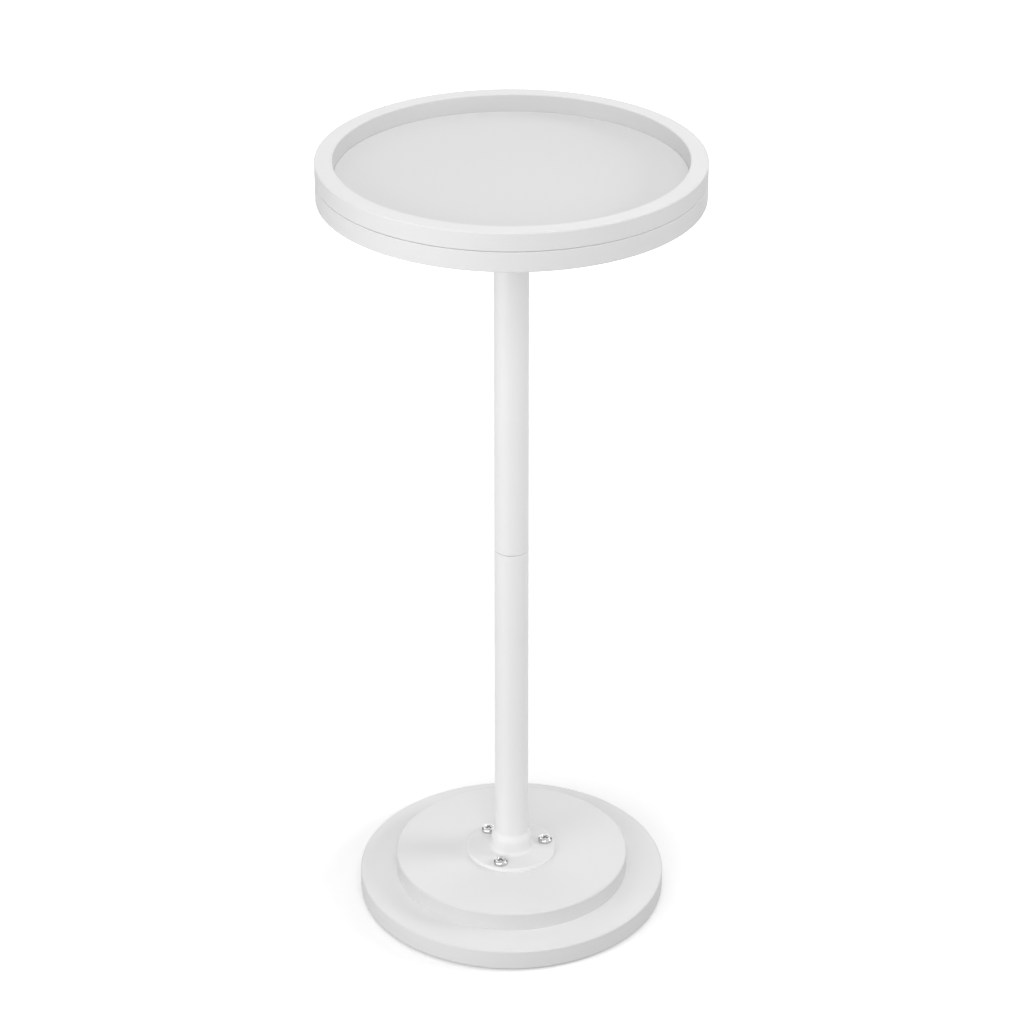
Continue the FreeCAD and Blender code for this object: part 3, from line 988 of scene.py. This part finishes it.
def dark_card(name, azimuth, distance, width, height):
    """Card that stands on the floor and faces the table. Azimuth 0 is the camera's side, 90 the right."""
    sheet = bmesh.new()
    bmesh.ops.create_grid(sheet, x_segments=1, y_segments=1, size=UNIT_HALF)
    place = (Matrix.Rotation(math.radians(azimuth), 4, "Z") @ Matrix.Translation((0, -distance, height / 2))
             @ Matrix.Rotation(math.pi / 2, 4, "X") @ Matrix.Diagonal((width, height, 1, 1)))
    bmesh.ops.transform(sheet, matrix=place, verts=sheet.verts[:])
    mesh = bpy.data.meshes.new(name)
    sheet.to_mesh(mesh)
    sheet.free()
    card = bpy.data.objects.new(name, mesh)
    card.visible_camera = False
    bpy.context.scene.collection.objects.link(card)
    return card


wear([dark_card("left_card", -BEHIND_AZIMUTH, **BEHIND_CARD),
      dark_card("right_card", BEHIND_AZIMUTH, **BEHIND_CARD),
      dark_card("low_card", LOW_AZIMUTH, **LOW_CARD)], felt)

# %% [markdown]
# Eight soft boxes stand round the table at the same distance. The two at the left and the one in
# front light the walls that face the viewer, the one at the right throws the post's soft shadow over
# the base, and the ones overhead and behind fill what the others leave. Two are wide, because a wide
# box throws a softer shadow.

# %% Soft boxes
BOX_AIM = Vector((0, 0, 0.35))
BOX_DISTANCE = 2.2
BOX_HEIGHT = 0.8
WIDE_BOX = 2


def soft_box(name, azimuth, elevation, power, width=BOX_HEIGHT):
    """Area light that faces the table. Azimuth 0 is the camera's side, 90 the right."""
    around = math.radians(azimuth)
    above = math.radians(elevation)
    away = Vector((math.sin(around) * math.cos(above), -math.cos(around) * math.cos(above), math.sin(above)))
    lamp = bpy.data.lights.new(name, "AREA")
    lamp.shape = "RECTANGLE"
    lamp.size = width
    lamp.size_y = BOX_HEIGHT
    lamp.energy = power
    box = bpy.data.objects.new(name, lamp)
    facing_table = away.to_track_quat("Z", "Y").to_matrix().to_4x4()
    box.matrix_world = Matrix.Translation(BOX_AIM + away * BOX_DISTANCE) @ facing_table
    bpy.context.scene.collection.objects.link(box)
    print(f"{name}: {power} W")


soft_box("left_front_box", azimuth=-30, elevation=20, power=15.6, width=WIDE_BOX)
soft_box("left_box", azimuth=-60, elevation=6, power=8.4)
soft_box("front_box", azimuth=5, elevation=40, power=6.8)
soft_box("right_box", azimuth=90, elevation=20, power=14.6)
soft_box("top_box", azimuth=0, elevation=89, power=7.0)
soft_box("back_box", azimuth=180, elevation=6, power=7, width=WIDE_BOX)
soft_box("back_left_box", azimuth=-150, elevation=40, power=2.2)
soft_box("back_right_box", azimuth=150, elevation=40, power=2.2)
